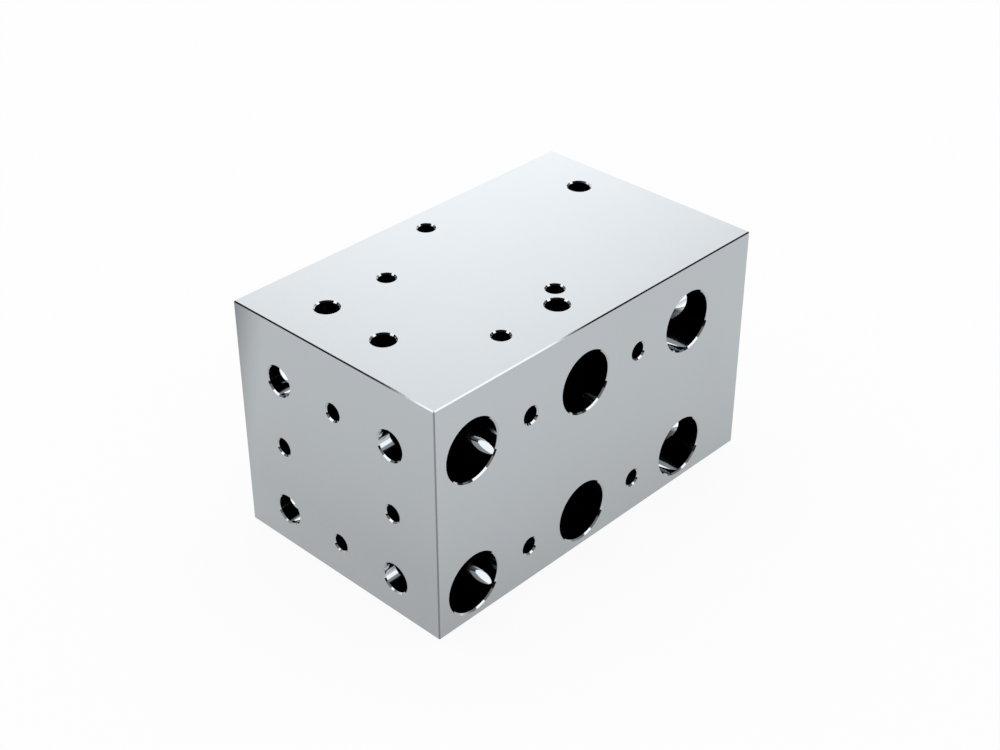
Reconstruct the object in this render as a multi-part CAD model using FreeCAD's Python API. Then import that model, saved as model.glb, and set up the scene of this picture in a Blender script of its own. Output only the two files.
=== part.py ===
import FreeCAD, Part
import math
import os

# Adapter block: one machined steel block whose oil lines are drilled from every side
# and meet inside.
# Frame: origin at the middle of the resting face, +X along the long side from the
# left end to the right end, +Y from the front face to the rear face, +Z up. Millimetres.

# Block
length = 152.0
width = 92.0
height = 88.0
edge_chamfer = 0.4

# Every hole
mouth_chamfer = 0.5
drill_point_angle = 118.0
overrun = 1.0

# Main lines from the front face to the rear face, in columns and rows: a wide port
# at each mouth and a narrower passage between the two
port_pitch = 52.0
port_columns = 3
port_rows = 2
first_column_from_left = 16.0
lower_row_from_base = 14.0
main_port_diameter = 22.0
main_port_depth = 34.0
passage_diameter = 11.0

# Ports in the two ends, in two lines a pitch apart
first_line_from_front = 20.0
left_port_diameter = 10.6
right_port_undersize = 0.5

# Fixing threads, drawn at their nominal diameter
fixing_diameter = 6.0
fixing_depth = 11.0
least_wall = 1.2

# Oil ports in the top face
top_port_diameter = 8.0
top_port_depth = 16.0

# Pilot pattern in the top face: two ports on a diagonal, two fixing threads beside them
pilot_centre_from_left = 44.0
pilot_centre_from_front = 41.0

# Plate pattern in the top face: two ports far apart, two fixing threads across them
plate_centre_from_left = 77.0
plate_centre_from_front = 52.3
plate_port_reach = 60.0
plate_port_offset = 12.7
plate_fixing_reach = 30.0

# Places and sizes that follow from those above
left_end = -length / 2
right_end = length / 2
front_face = -width / 2
rear_face = width / 2
half_pitch = port_pitch / 2
columns = [left_end + first_column_from_left + port_pitch * i for i in range(port_columns)]
rows = [lower_row_from_base + port_pitch * i for i in range(port_rows)]
lines = [front_face + first_line_from_front + port_pitch * i for i in range(2)]
right_port_diameter = main_port_diameter - right_port_undersize
left_port_depth = columns[0] - left_end
right_port_depth = right_end - columns[-1]
upper_line_depth = height - rows[-1]


def point_height(radius):
    """Height of the cone that a drill point of this radius leaves."""
    return radius / math.tan(math.radians(drill_point_angle / 2))


def revolved(profile, mouth, inward):
    """Tool body turned from a half profile of (radius, depth) pairs, placed at its mouth."""
    points = [FreeCAD.Vector(radius, 0, depth) for radius, depth in profile]
    face = Part.Face(Part.makePolygon(points + points[:1]))
    body = face.revolve(FreeCAD.Vector(0, 0, 0), FreeCAD.Vector(0, 0, 1), 360)
    turn = FreeCAD.Rotation(FreeCAD.Vector(0, 0, 1), FreeCAD.Vector(*inward))
    body.Placement = FreeCAD.Placement(FreeCAD.Vector(*mouth), turn)
    return body


def mouth_profile(radius):
    """First points of a profile: the cone that breaks the edge of the mouth."""
    widest = radius + mouth_chamfer + overrun
    return [(0, -overrun), (widest, -overrun), (radius, mouth_chamfer)]


def drilled_hole(mouth, inward, diameter, depth):
    """Blind hole: chamfered mouth, straight wall and the cone left by the drill point."""
    radius = diameter / 2
    profile = mouth_profile(radius) + [(radius, depth), (0, depth + point_height(radius))]
    return revolved(profile, mouth, inward)


def flat_hole(mouth, inward, diameter, depth):
    """Blind hole with a chamfered mouth and a flat bottom."""
    radius = diameter / 2
    profile = mouth_profile(radius) + [(radius, depth), (0, depth)]
    return revolved(profile, mouth, inward)


def main_line(mouth, inward, reach):
    """Line from face to face: port, drill cone and passage, then the same again in reverse."""
    port = main_port_diameter / 2
    passage = passage_diameter / 2
    shoulder = main_port_depth + point_height(port - passage)
    near = mouth_profile(port) + [(port, main_port_depth), (passage, shoulder)]
    far = [(radius, reach - depth) for radius, depth in reversed(near)]
    return revolved(near + far, mouth, inward)


def blank():
    """Milled block with its twelve edges broken."""
    body = Part.makeBox(length, width, height, FreeCAD.Vector(left_end, front_face, 0))
    return body.makeChamfer(edge_chamfer, body.Edges)


def main_lines():
    """The lines from the front face to the rear face."""
    tools = []
    for x in columns:
        for z in rows:
            tools.append(main_line((x, front_face, z), (0, 1, 0), width))
    return tools


def end_ports():
    """Ports of the two ends, each drilled up to the axis of the nearest main port."""
    tools = []
    for y in lines:
        for z in rows:
            tools.append(flat_hole((left_end, y, z), (1, 0, 0), left_port_diameter, left_port_depth))
            tools.append(flat_hole((right_end, y, z), (-1, 0, 0), right_port_diameter, right_port_depth))
    return tools


def face_fixings():
    """Fixing threads halfway between neighbouring ports, in the front and the rear face."""
    tools = []
    for x in columns[:-1]:
        for z in rows:
            for y, inward in ((front_face, 1), (rear_face, -1)):
                mouth = (x + half_pitch, y, z)
                tools.append(drilled_hole(mouth, (0, inward, 0), fixing_diameter, fixing_depth))
    return tools


def end_fixings():
    """Fixing threads halfway between the ports of each end.

    In the left end those on a row stop short of the passage that runs behind them."""
    tools = []
    passage_wall = columns[0] - passage_diameter / 2
    short_depth = passage_wall - left_end - least_wall - point_height(fixing_diameter / 2)
    middle_line = lines[0] + half_pitch
    for z in rows:
        tools.append(drilled_hole((left_end, middle_line, z), (1, 0, 0), fixing_diameter, short_depth))
        tools.append(drilled_hole((right_end, middle_line, z), (-1, 0, 0), fixing_diameter, fixing_depth))
    middle_row = rows[0] + half_pitch
    for y in lines:
        tools.append(drilled_hole((left_end, y, middle_row), (1, 0, 0), fixing_diameter, fixing_depth))
        tools.append(drilled_hole((right_end, y, middle_row), (-1, 0, 0), fixing_diameter, fixing_depth))
    return tools


def top_hole(from_left, from_front, diameter, depth):
    """One hole in the top face, placed from the left end and the front face."""
    mouth = (left_end + from_left, front_face + from_front, height)
    return drilled_hole(mouth, (0, 0, -1), diameter, depth)


def pilot_pattern():
    """Two ports on a diagonal of the pitch square and two fixing threads on its middle line."""
    tools = []
    for side in (-1, 1):
        port_x = pilot_centre_from_left + side * half_pitch
        port_y = pilot_centre_from_front - side * half_pitch
        fixing_y = pilot_centre_from_front + side * half_pitch
        tools.append(top_hole(port_x, port_y, top_port_diameter, top_port_depth))
        tools.append(top_hole(pilot_centre_from_left, fixing_y, fixing_diameter, fixing_depth))
    return tools


def plate_pattern():
    """Two ports at the far corners of the pattern and two fixing threads across its middle.

    The left port goes down to the axis of the line below it."""
    tools = []
    for side, port_depth in ((-1, upper_line_depth), (1, top_port_depth)):
        port_x = plate_centre_from_left + side * plate_port_reach
        port_y = plate_centre_from_front + side * plate_port_offset
        fixing_y = plate_centre_from_front + side * plate_fixing_reach
        tools.append(top_hole(port_x, port_y, top_port_diameter, port_depth))
        tools.append(top_hole(plate_centre_from_left, fixing_y, fixing_diameter, fixing_depth))
    return tools


def adapter_block():
    """The finished block: the blank less every hole."""
    body = blank()
    holes = main_lines() + end_ports() + face_fixings() + end_fixings()
    holes += pilot_pattern() + plate_pattern()
    for hole in holes:
        body = body.cut(hole)
    return body.Solids[0]


os.makedirs("parts", exist_ok=True)
block = adapter_block()
block.exportStep("parts/adapter_block.step")
print("valid", block.isValid(), "faces", len(block.Faces), "volume", round(block.Volume), "mm3")
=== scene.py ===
import bpy
import numpy as np
from mathutils import Matrix, Vector


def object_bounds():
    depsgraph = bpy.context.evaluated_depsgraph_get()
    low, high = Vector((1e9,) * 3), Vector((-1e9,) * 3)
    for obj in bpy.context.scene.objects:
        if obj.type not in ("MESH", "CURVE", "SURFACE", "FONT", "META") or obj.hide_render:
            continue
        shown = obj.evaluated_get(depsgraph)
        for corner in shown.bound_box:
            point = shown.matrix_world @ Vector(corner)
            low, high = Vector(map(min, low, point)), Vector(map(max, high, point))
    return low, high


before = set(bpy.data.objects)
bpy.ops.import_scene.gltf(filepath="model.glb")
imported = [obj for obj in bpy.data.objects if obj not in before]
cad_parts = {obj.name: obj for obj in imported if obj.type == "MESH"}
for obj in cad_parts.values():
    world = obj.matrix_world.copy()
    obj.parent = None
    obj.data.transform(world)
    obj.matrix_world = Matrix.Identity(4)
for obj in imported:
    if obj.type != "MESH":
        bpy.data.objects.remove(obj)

cad_low, cad_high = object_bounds()

# Places of the block that the painted shade in its holes and on the floor and the painted reflection on its
# edges follow, in metres. The radius and the chamfer are a little larger than the block's, so that they take
# in the whole wall and edge
half_length, half_width, top_height = cad_high
port_pitch = 0.052
first_column = 0.016 - half_length
first_line = 0.020 - half_width
lower_row = 0.014
main_port_radius = 0.0111
edge_chamfer = 0.00041

# Colours of the steel, of the painted dark reflection on its edges and of the painted shade in its holes
steel_dull = (0.462, 0.492, 0.513, 1.0)
steel_bright = (0.508, 0.538, 0.561, 1.0)
# Painted dark reflection, put on the chamfers of the upright edges as a darker colour
painted_edge_reflection_colour = (0.260, 0.277, 0.289, 1.0)
# Painted shade deep in the holes
painted_bore_shade_colour = (0.012, 0.012, 0.013, 1.0)

# Depths at which the painted shade on the drilled walls sets in and is full
small_hole_shade_depths = (0.0008, 0.0045)
end_port_shade_depths = (0.0128, 0.0155)
main_port_shade_depths = (0.0085, 0.0135)
painted_shade_roughness = 0.16

# Camera, with its roll in radians, and the way it looks: down at the block, and the same way
# along the floor
camera_place = Vector((-0.362620, -0.346942, 0.372067))
camera_aim = Vector((0.004661, 0.004559, 0.040000))
camera_roll = -0.00052
camera_lens = 62.358
view_way = (camera_aim - camera_place).normalized()
view_turn = Vector((view_way.x, view_way.y, 0.0)).normalized()

# Brightnesses of the studio, in which 1 is white
softbox_light = 1.9
panel_light = 1.75
backdrop_light = 1.75
least_backdrop = 0.4
room_light = 1.3
ceiling_light = 1.0
flag_grey = 0.28
dark_room = 0.015

# Soft borders of the strips, as sines of the height, and the cosine at a strip's middle
white_from = (0.564, 0.578)
dark_from = (0.72, 0.75)
middle_of_strip = 0.5 ** 0.5

# Sizes of the studio, in metres
dome_radius = 4.0
floor_side = 12.0


class Nodes:
    """Short way to add nodes to a material and to join them."""

    def __init__(self, tree):
        self.tree = tree

    def add(self, kind, **settings):
        node = self.tree.nodes.new(kind)
        for name, value in settings.items():
            setattr(node, name, value)
        return node

    def join(self, source, target):
        if isinstance(source, bpy.types.NodeSocket):
            self.tree.links.new(source, target)
        else:
            target.default_value = source

    def number(self, operation, *values, clamp=False):
        node = self.add("ShaderNodeMath", operation=operation, use_clamp=clamp)
        for value, socket in zip(values, node.inputs):
            self.join(value, socket)
        return node.outputs[0]

    def vector(self, operation, *values, output="Vector"):
        node = self.add("ShaderNodeVectorMath", operation=operation)
        for value, socket in zip(values, node.inputs):
            self.join(value, socket)
        return node.outputs[output]

    def product(self, first, *others):
        for other in others:
            first = self.number("MULTIPLY", first, other)
        return first

    def along(self, place, way):
        """How far a place lies along a way, or the cosine between two directions."""
        return self.vector("DOT_PRODUCT", place, way, output="Value")

    def object_place(self):
        return self.add("ShaderNodeTexCoord").outputs["Object"]

    def parts(self, place):
        """The x, y and z of a place."""
        node = self.add("ShaderNodeSeparateXYZ")
        self.join(place, node.inputs[0])
        return tuple(node.outputs)

    def step(self, value, low, high, start=0.0, end=1.0):
        """Smooth step of a value: start below low, end above high, an S curve between."""
        node = self.add("ShaderNodeMapRange", interpolation_type="SMOOTHSTEP")
        for source, name in ((value, "Value"), (low, "From Min"), (high, "From Max"),
                             (start, "To Min"), (end, "To Max")):
            self.join(source, node.inputs[name])
        return node.outputs["Result"]

    def fall(self, value, low, high):
        """Smooth step down: 1 below low, 0 above high."""
        return self.step(value, low, high, 1.0, 0.0)

    def mix(self, kind, factor, first, second):
        node = self.add("ShaderNodeMix", data_type=kind)
        self.join(factor, node.inputs["Factor"])
        self.join(first, node.inputs["A"])
        self.join(second, node.inputs["B"])
        return node.outputs["Result"]

    def blend(self, factor, first, second):
        """First colour where the factor is 0, second where it is 1."""
        return self.mix("RGBA", factor, first, second)

    def choose(self, factor, first, second):
        """First number where the factor is 0, second where it is 1."""
        return self.mix("FLOAT", factor, first, second)

    def near_axis(self, across, up, radius):
        """1 where the root of across squared plus up squared is less than the radius."""
        square = self.number("MULTIPLY_ADD", across, across, self.number("MULTIPLY", up, up))
        return self.number("LESS_THAN", square, radius * radius)

    def noise(self, place, scale, detail, roughness):
        node = self.add("ShaderNodeTexNoise")
        self.join(place, node.inputs["Vector"])
        node.inputs["Scale"].default_value = scale
        node.inputs["Detail"].default_value = detail
        node.inputs["Roughness"].default_value = roughness
        return node.outputs["Fac"]


def new_material(name):
    """Empty node material, its node helper and the surface socket of its output."""
    material = bpy.data.materials.new(name)
    material.use_nodes = True
    material.node_tree.nodes.clear()
    nodes = Nodes(material.node_tree)
    surface = nodes.add("ShaderNodeOutputMaterial").inputs["Surface"]
    return material, nodes, surface


def inward(nodes, x, y):
    """How far in a place lies from the nearer end, and from the nearer of front and rear face."""
    from_end = nodes.number("SUBTRACT", half_length, nodes.number("ABSOLUTE", x))
    from_front = nodes.number("SUBTRACT", half_width, nodes.number("ABSOLUTE", y))
    return from_end, from_front


def upright_edge(nodes, from_end, from_front):
    """1 on the chamfers of the four upright edges, 0 elsewhere."""
    return nodes.number("LESS_THAN", nodes.number("MAXIMUM", from_end, from_front), edge_chamfer)


def painted_bore_shade_cover(nodes, x, y, z, from_end, from_front):
    """How far the painted shade covers a place, from 0 on the outside to 1 deep in a hole.

    In a main port it follows the depth from the front or rear face, and in an end port the
    depth from the end. In any other hole it follows the distance to the nearest face. A place
    counts as in a port where it is nearer to a port axis than the main port's radius, and the
    axes repeat at the pitch."""
    from_top = nodes.number("MINIMUM", z, nodes.number("SUBTRACT", top_height, z))
    half_pitch = port_pitch / 2
    across = nodes.number("PINGPONG", nodes.number("SUBTRACT", x, first_column), half_pitch)
    along = nodes.number("PINGPONG", nodes.number("SUBTRACT", y, first_line), half_pitch)
    up = nodes.number("PINGPONG", nodes.number("SUBTRACT", z, lower_row), half_pitch)
    in_main = nodes.near_axis(across, up, main_port_radius)
    in_end = nodes.near_axis(along, up, main_port_radius)
    nearest = nodes.number("MINIMUM", from_end, nodes.number("MINIMUM", from_front, from_top))
    cover = nodes.choose(in_end, nodes.step(nearest, *small_hole_shade_depths), nodes.step(from_end, *end_port_shade_depths))
    return nodes.choose(in_main, cover, nodes.step(from_front, *main_port_shade_depths))


def ground_steel():
    """Steel of the block: bright and finely ground outside, with painted shade down in the holes.

    Outside, the lines are noise stretched along the block, and slow clouds vary the colour by a
    few parts in a hundred. The chamfers of the four upright edges carry a painted dark
    reflection: the near one is fitted to the photograph, and the other three are guessed. In the
    holes a dark colour sets in with depth, painted shade for light that is lost in a deep bore.
    Its depths are fitted too. It hides the colour and makes the wall a little rougher."""
    material, nodes, surface = new_material("ground_steel")
    shader = nodes.add("ShaderNodeBsdfPrincipled")
    place = nodes.object_place()
    clouds = nodes.noise(place, 38.0, 5.0, 0.6)
    grain = nodes.noise(place, 2600.0, 3.0, 0.7)
    stretched = nodes.vector("MULTIPLY", place, (60.0, 2400.0, 2400.0))
    grinding = nodes.noise(stretched, 1.0, 3.0, 0.6)
    tone = nodes.number("MULTIPLY_ADD", clouds, 0.35, nodes.number("MULTIPLY", grain, 0.65))
    colour = nodes.blend(tone, steel_dull, steel_bright)
    x, y, z = nodes.parts(place)
    from_end, from_front = inward(nodes, x, y)
    # Painted dark reflection: the chamfers of the upright edges get a darker colour
    edge = upright_edge(nodes, from_end, from_front)
    colour = nodes.blend(edge, colour, painted_edge_reflection_colour)
    # Painted shade in the holes: the colour goes dark with depth
    bore_shade = painted_bore_shade_cover(nodes, x, y, z, from_end, from_front)
    nodes.join(nodes.blend(bore_shade, colour, painted_bore_shade_colour), shader.inputs["Base Color"])
    ground = nodes.step(grinding, 0.3, 0.7, 0.028, 0.048)
    nodes.join(nodes.choose(bore_shade, ground, painted_shade_roughness), shader.inputs["Roughness"])
    bump = nodes.add("ShaderNodeBump")
    bump.inputs["Strength"].default_value = 0.04
    bump.inputs["Distance"].default_value = 0.00002
    nodes.join(grinding, bump.inputs["Height"])
    nodes.join(bump.outputs["Normal"], shader.inputs["Normal"])
    shader.inputs["Metallic"].default_value = 1.0
    nodes.join(shader.outputs["BSDF"], surface)
    return material


def add_camera():
    """Camera at the photograph's station, looking down on the corner between left end and front."""
    data = bpy.data.cameras.new("camera")
    data.sensor_width = 36.0
    data.lens = camera_lens
    data.clip_start = 0.01
    camera = bpy.data.objects.new("camera", data)
    turn = view_way.to_track_quat("-Z", "Y").to_matrix().to_4x4()
    roll = Matrix.Rotation(camera_roll, 4, "Z")
    camera.matrix_world = Matrix.Translation(camera_place) @ turn @ roll
    bpy.context.collection.objects.link(camera)
    bpy.context.scene.camera = camera


def stage_sheet(name, points, columns, material):
    """Stage object: a grid of points, row after row, with a quad between each four neighbours."""
    rows = len(points) // columns
    corner = (np.arange(rows - 1)[:, None] * columns + np.arange(columns - 1)[None, :]).ravel()
    quads = np.stack([corner, corner + 1, corner + columns + 1, corner + columns], axis=1)
    mesh = bpy.data.meshes.new(name)
    mesh.from_pydata(points.tolist(), [], quads.tolist())
    mesh.materials.append(material)
    sheet = bpy.data.objects.new(name, mesh)
    bpy.context.collection.objects.link(sheet)
    return sheet


def floor_nearness(nodes, x, y):
    """Nearness to the block's foot: 1 at the near corner, less along the sides, 0 farther out."""
    out_x = nodes.number("SUBTRACT", nodes.number("ABSOLUTE", x), half_length)
    out_y = nodes.number("SUBTRACT", nodes.number("ABSOLUTE", y), half_width)
    out = nodes.number("MAXIMUM", nodes.number("MAXIMUM", out_x, out_y), 0.0)
    along_x = nodes.number("MAXIMUM", nodes.number("ADD", x, half_length), 0.0)
    along_y = nodes.number("MAXIMUM", nodes.number("ADD", y, half_width), 0.0)
    along = nodes.number("MULTIPLY", nodes.number("ADD", along_x, along_y), 1.6)
    most = nodes.number("SUBTRACT", 1.0, nodes.number("MINIMUM", along, 0.25))
    return nodes.number("MAXIMUM", nodes.number("MULTIPLY_ADD", out, -7.7, most), 0.0)


def floor_white():
    """White of the floor: part matt, so that it keeps a shadow, and part bright in itself.

    The camera sees almost only the bright part. As the steel mirrors it, the bright part carries
    painted shade: it darkens towards the block's foot with the square of the nearness to it, most
    at the near corner. It is a little darker on the left and to the right, and darker still far out
    beside the left end, all painted shade."""
    material, nodes, surface = new_material("floor_white")
    matt = nodes.add("ShaderNodeBsdfDiffuse")
    matt.inputs["Color"].default_value = (0.93, 0.93, 0.93, 1.0)
    bright = nodes.add("ShaderNodeEmission")
    x, y = nodes.parts(nodes.object_place())[:2]
    near = floor_nearness(nodes, x, y)
    # Painted shade on the floor, seen only in the steel's mirror: darker near the foot, on the left, to the
    # right and beside the left end
    foot = nodes.number("MULTIPLY_ADD", nodes.number("MULTIPLY", near, near), -0.29, 1.0)
    left = nodes.fall(x, -half_length - 0.020, -half_length)
    slanted = nodes.number("MULTIPLY_ADD", nodes.number("ADD", x, 0.160), 1.09, y)
    beside = nodes.number("MULTIPLY", left, nodes.step(slanted, 0.139, 0.170))
    shade = nodes.product(foot, nodes.number("MULTIPLY_ADD", beside, -0.60, 1.0),
                          nodes.step(x, -0.10, 0.17, 1.0, 0.945),
                          nodes.number("MULTIPLY_ADD", left, -0.08, 1.0))
    ray = nodes.add("ShaderNodeLightPath").outputs
    mirrored = ray["Is Glossy Ray"]
    seen = nodes.number("MAXIMUM", ray["Is Camera Ray"], ray["Is Transmission Ray"])
    nodes.join(nodes.choose(mirrored, 1.0, shade), bright.inputs["Strength"])
    share = nodes.number("MULTIPLY_ADD", mirrored, 0.9, nodes.number("MULTIPLY", seen, 0.9), clamp=True)
    mix = nodes.add("ShaderNodeMixShader")
    nodes.join(share, mix.inputs[0])
    nodes.join(matt.outputs[0], mix.inputs[1])
    nodes.join(bright.outputs[0], mix.inputs[2])
    nodes.join(mix.outputs[0], surface)
    return material


def add_floor():
    """Flat square floor."""
    side = np.array([-floor_side / 2, floor_side / 2])
    x, y = np.meshgrid(side, side)
    points = np.stack([x.ravel(), y.ravel(), np.zeros(4)], axis=1)
    stage_sheet("floor", points, 2, floor_white())


def backdrop_level(nodes, rise, aside):
    """Brightness of the backdrop: less with height and to its sides, white at its right edge."""
    off = nodes.number("SUBTRACT", aside, 0.05)
    dimmer = nodes.product(off, off, -5.2)
    level = nodes.number("MULTIPLY_ADD", nodes.number("SUBTRACT", rise, 0.438), -2.65, backdrop_light)
    level = nodes.number("MAXIMUM", nodes.number("ADD", level, dimmer), least_backdrop)
    right_edge = nodes.step(aside, -0.30, -0.19, softbox_light, 0.0)
    return nodes.number("MINIMUM", nodes.number("ADD", level, right_edge), softbox_light)


def strip_level(nodes, rise, high, white):
    """Brightness of the wide strips: dark high up, white, grey below that and dark low down."""
    grey = nodes.step(rise, 0.22, 0.30, dark_room, flag_grey)
    return nodes.choose(high, nodes.choose(white, grey, softbox_light), dark_room)


def studio_light():
    """Brightness of the studio as the steel sees it, from the direction to each place.

    The room is pale. A backdrop stands ahead, and a low panel stands on each side. Strips of the
    room are seen by the broken edges and hole mouths: there the direction half-way between the
    way to the room and the way back to the camera makes 45 degrees with the top, front or left
    face. The strips are white from 34 to 47 degrees of height, dark above and grey below. The
    middle of a strip is dark just below the white, except behind the camera."""
    material, nodes, surface = new_material("studio_light")
    light = nodes.add("ShaderNodeEmission")
    toward = nodes.vector("NORMALIZE", nodes.object_place())
    rise = nodes.parts(toward)[2]
    flat = nodes.vector("NORMALIZE", nodes.vector("MULTIPLY", toward, (1.0, 1.0, 0.0)))
    ahead = nodes.along(flat, view_turn)
    aside = nodes.along(flat, (-view_turn.y, view_turn.x, 0.0))

    half = nodes.vector("NORMALIZE", nodes.vector("SUBTRACT", toward, view_way))
    wide, narrow = 0.0, 0.0
    for face in ((0.0, 0.0, 1.0), (0.0, -1.0, 0.0), (-1.0, 0.0, 0.0)):
        off = nodes.number("ABSOLUTE", nodes.number("SUBTRACT", nodes.along(half, face), middle_of_strip))
        wide = nodes.number("MAXIMUM", wide, nodes.fall(off, 0.045, 0.085))
        narrow = nodes.number("MAXIMUM", narrow, nodes.fall(off, 0.014, 0.036))

    panel = nodes.product(nodes.step(ahead, -0.40, -0.34), nodes.fall(ahead, -0.06, -0.01),
                          nodes.fall(rise, 0.36, 0.42))
    level = nodes.choose(panel, nodes.step(rise, 0.0, 1.0, room_light, ceiling_light), panel_light)
    high = nodes.step(rise, *dark_from)
    white = nodes.product(nodes.step(rise, *white_from), nodes.fall(rise, *dark_from))
    level = nodes.choose(wide, level, strip_level(nodes, rise, high, white))
    edge = nodes.product(nodes.step(rise, 0.43, 0.47), nodes.step(ahead, -0.35, -0.20))
    deep = nodes.product(narrow, edge, nodes.number("SUBTRACT", 1.0, white))
    level = nodes.choose(deep, level, dark_room)
    here = nodes.product(nodes.step(ahead, 0.86, 0.92), nodes.fall(rise, 0.66, 0.72))
    level = nodes.choose(here, level, backdrop_level(nodes, rise, aside))
    nodes.join(level, light.inputs["Strength"])
    nodes.join(light.outputs[0], surface)
    return material


def add_studio():
    """Dome around the block that only reflections see: height angle and turn on a grid.

    A point at height angle h and turn a is radius times (cos h cos a, cos h sin a, sin h)."""
    turns = 97
    turn, rise = np.meshgrid(np.linspace(0.0, 2 * np.pi, turns), np.linspace(-0.02, np.pi / 2, 33))
    points = dome_radius * np.stack([np.cos(rise) * np.cos(turn), np.cos(rise) * np.sin(turn),
                                     np.sin(rise)], axis=-1).reshape(-1, 3)
    dome = stage_sheet("studio_dome", points, turns, studio_light())
    dome.visible_camera = False
    dome.visible_diffuse = False
    dome.visible_transmission = False
    dome.visible_shadow = False
    dome.visible_volume_scatter = False


def add_light():
    """Even white surroundings and one large soft lamp above, which steel doesn't mirror."""
    world = bpy.data.worlds.new("surroundings")
    bpy.context.scene.world = world
    world.use_nodes = True
    nodes = Nodes(world.node_tree)
    background = world.node_tree.nodes["Background"]
    background.inputs["Color"].default_value = (1, 1, 1, 1)
    ray = nodes.add("ShaderNodeLightPath").outputs
    seen = nodes.number("MAXIMUM", ray["Is Camera Ray"], ray["Is Glossy Ray"])
    seen = nodes.number("MAXIMUM", seen, ray["Is Transmission Ray"])
    nodes.join(nodes.choose(seen, 0.7, 1.0), background.inputs["Strength"])
    data = bpy.data.lights.new("soft_lamp", "AREA")
    data.size = 1.5
    data.energy = 12.0
    lamp = bpy.data.objects.new("soft_lamp", data)
    lamp.matrix_world = Matrix.Translation((0.2, 0.3, 2.0))
    lamp.visible_glossy = False
    bpy.context.collection.objects.link(lamp)


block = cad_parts["adapter_block"]
steel = ground_steel()
for slot in block.material_slots:
    slot.material = steel

add_camera()
add_floor()
add_studio()
add_light()

bpy.context.scene.view_settings.view_transform = "Standard"
